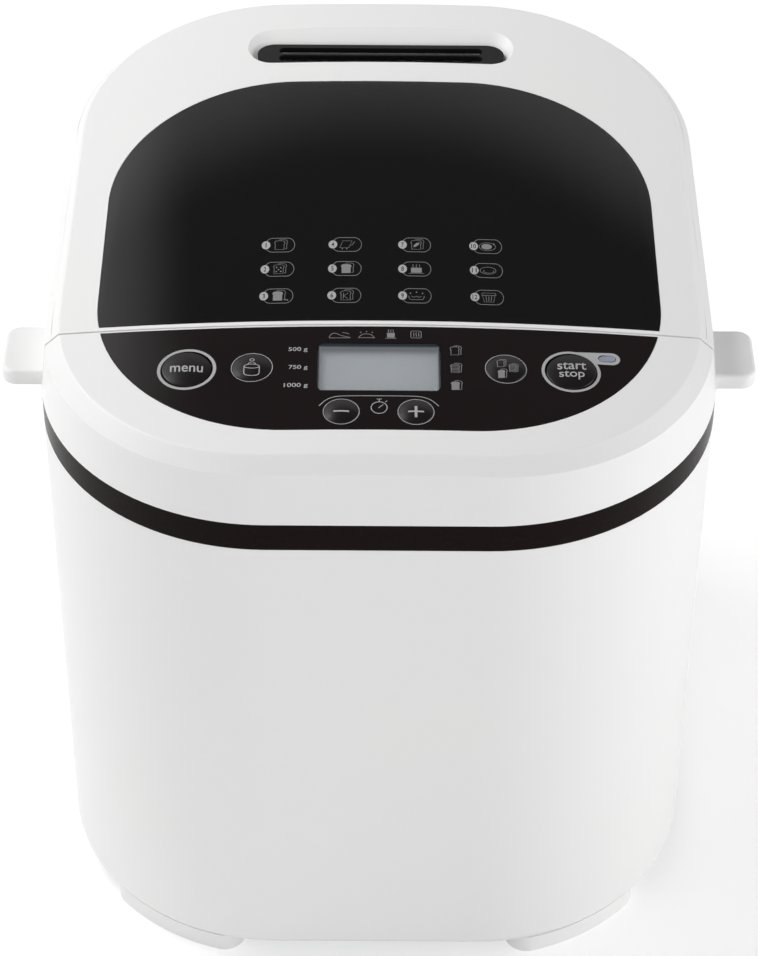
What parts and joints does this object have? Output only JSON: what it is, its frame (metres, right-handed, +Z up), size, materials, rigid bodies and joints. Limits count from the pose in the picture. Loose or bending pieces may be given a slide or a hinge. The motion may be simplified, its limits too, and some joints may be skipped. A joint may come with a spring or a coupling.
{
  "type": "bread machine",
  "caption": "Rounded white bread machine with a hinged windowed lid, sloping black control panel, lift-out kneading pan and belt drive.",
  "frame": {"origin": "centre of the footprint on the surface that the four feet stand on", "axes": "+X to the right as seen from the front, +Y to the back, where the lid hinges, +Z up"},
  "size_m": [0.301, 0.302, 0.2993],
  "materials": {
    "white_plastic": "satin moulded white plastic",
    "band_plastic": "glossy dark brown plastic",
    "panel_plastic": "glossy black plastic",
    "key_plastic": "glossy dark key caps",
    "smoked_glass": "smoked glass",
    "clear_glass": "clear tempered glass",
    "lcd_glass": "grey display glass",
    "lamp_plastic": "clear lamp window",
    "black_plastic": "matte black plastic",
    "grey_plastic": "matte grey plastic",
    "board": "green circuit board",
    "screw_steel": "zinc plated steel",
    "sheet_steel": "galvanised sheet steel",
    "oven_steel": "aluminised sheet steel",
    "heater_steel": "oxidised steel tube",
    "nonstick": "dark non-stick coating",
    "cast_aluminium": "die-cast aluminium",
    "bright_steel": "bright steel wire and shafts",
    "bronze": "sintered bronze",
    "rubber": "black rubber",
    "copper": "enamelled copper winding"
  },
  "bodies": {
    "machine": {"body_shell": "white_plastic", "trim_band": "band_plastic", "base_plate": "sheet_steel", "foot_front_left": "white_plastic", "foot_front_right": "white_plastic", "foot_rear_left": "white_plastic", "foot_rear_right": "white_plastic", "base_screws": "screw_steel", "cord_gland": "black_plastic", "hinge_pins": "bright_steel", "control_housing": "white_plastic", "control_panel": "panel_plastic", "lcd_lens": "lcd_glass", "lcd_module": "grey_plastic", "indicator_lens": "lamp_plastic", "control_board": "board", "board_components": "black_plastic", "board_screws": "screw_steel", "chamber_deck": "white_plastic", "baking_chamber": "oven_steel", "heating_element": "heater_steel", "element_clips": "sheet_steel", "temperature_sensor": "bright_steel", "thermal_fuse": "sheet_steel", "pan_seat": "cast_aluminium", "drive_frame": "sheet_steel", "bearing_housing": "cast_aluminium", "bearing_bushes": "bronze", "drive_belt": "rubber", "motor_bells": "cast_aluminium", "motor_stator": "sheet_steel", "motor_coils": "copper", "run_capacitor": "grey_plastic", "power_board": "board"},
    "lid": {"lid_shell": "white_plastic", "lid_window": "smoked_glass", "lid_liner": "sheet_steel", "inner_pane": "clear_glass", "vent_grille": "black_plastic", "liner_screws": "screw_steel"},
    "pan": {"bread_pan": "nonstick", "pan_base": "cast_aluminium", "pan_bush": "bronze", "shaft_seal": "rubber"},
    "bail": {"pan_handle": "bright_steel"},
    "pan_drive": {"pan_shaft": "bright_steel", "pan_coupling": "cast_aluminium"},
    "paddle": {"kneading_paddle": "nonstick"},
    "drive": {"drive_shaft": "bright_steel", "drive_coupling": "cast_aluminium", "large_pulley": "black_plastic"},
    "motor": {"motor_shaft": "bright_steel", "motor_pulley": "cast_aluminium"},
    "menu_key": {"menu_button": "key_plastic"},
    "weight_key": {"weight_button": "key_plastic"},
    "crust_key": {"crust_button": "key_plastic"},
    "start_stop_key": {"start_stop_button": "key_plastic"},
    "minus_key": {"minus_button": "key_plastic"},
    "plus_key": {"plus_button": "key_plastic"}
  },
  "joints": [
    {"name": "lid_hinge", "type": "hinge", "parent": "machine", "child": "lid", "pos_m": [0, 0.1468, 0.2556], "axis": [-1, 0, 0], "range_deg": [0, 85]},
    {"name": "pan_lift", "type": "slide", "parent": "machine", "child": "pan", "axis": [0, 0, 1], "range_m": [0, 0.06]},
    {"name": "bail_swing", "type": "hinge", "parent": "pan", "child": "bail", "pos_m": [0, 0.028, 0.191], "axis": [-1, 0, 0], "range_deg": [0, 180]},
    {"name": "paddle_spin", "type": "hinge", "parent": "pan", "child": "pan_drive", "pos_m": [0, 0.028, 0.08], "axis": [0, 0, 1], "continuous": true},
    {"name": "paddle_pull", "type": "slide", "parent": "pan_drive", "child": "paddle", "axis": [0, 0, 1], "range_m": [0, 0.035]},
    {"name": "drive_spin", "type": "hinge", "parent": "machine", "child": "drive", "pos_m": [0, 0.028, 0.04], "axis": [0, 0, 1], "continuous": true},
    {"name": "motor_spin", "type": "hinge", "parent": "machine", "child": "motor", "pos_m": [0, -0.105, 0.06], "axis": [0, 0, 1], "continuous": true},
    {"name": "menu_press", "type": "slide", "parent": "machine", "child": "menu_key", "axis": [0, 0.0698, -0.9976], "range_m": [0, 0.0008], "stiffness_N_per_m": 1500, "springref_m": -0.0004},
    {"name": "weight_press", "type": "slide", "parent": "machine", "child": "weight_key", "axis": [0, 0.0698, -0.9976], "range_m": [0, 0.0008], "stiffness_N_per_m": 1500, "springref_m": -0.0004},
    {"name": "crust_press", "type": "slide", "parent": "machine", "child": "crust_key", "axis": [0, 0.0698, -0.9976], "range_m": [0, 0.0008], "stiffness_N_per_m": 1500, "springref_m": -0.0004},
    {"name": "start_stop_press", "type": "slide", "parent": "machine", "child": "start_stop_key", "axis": [0, 0.0698, -0.9976], "range_m": [0, 0.0008], "stiffness_N_per_m": 1500, "springref_m": -0.0004},
    {"name": "minus_press", "type": "slide", "parent": "machine", "child": "minus_key", "axis": [0, 0.0698, -0.9976], "range_m": [0, 0.0008], "stiffness_N_per_m": 1500, "springref_m": -0.0004},
    {"name": "plus_press", "type": "slide", "parent": "machine", "child": "plus_key", "axis": [0, 0.0698, -0.9976], "range_m": [0, 0.0008], "stiffness_N_per_m": 1500, "springref_m": -0.0004}
  ],
  "couplings": [
    {"joint": "drive_spin", "follows": "motor_spin", "ratio": 0.18269},
    {"joint": "paddle_spin", "follows": "motor_spin", "ratio": 0.18269}
  ]
}
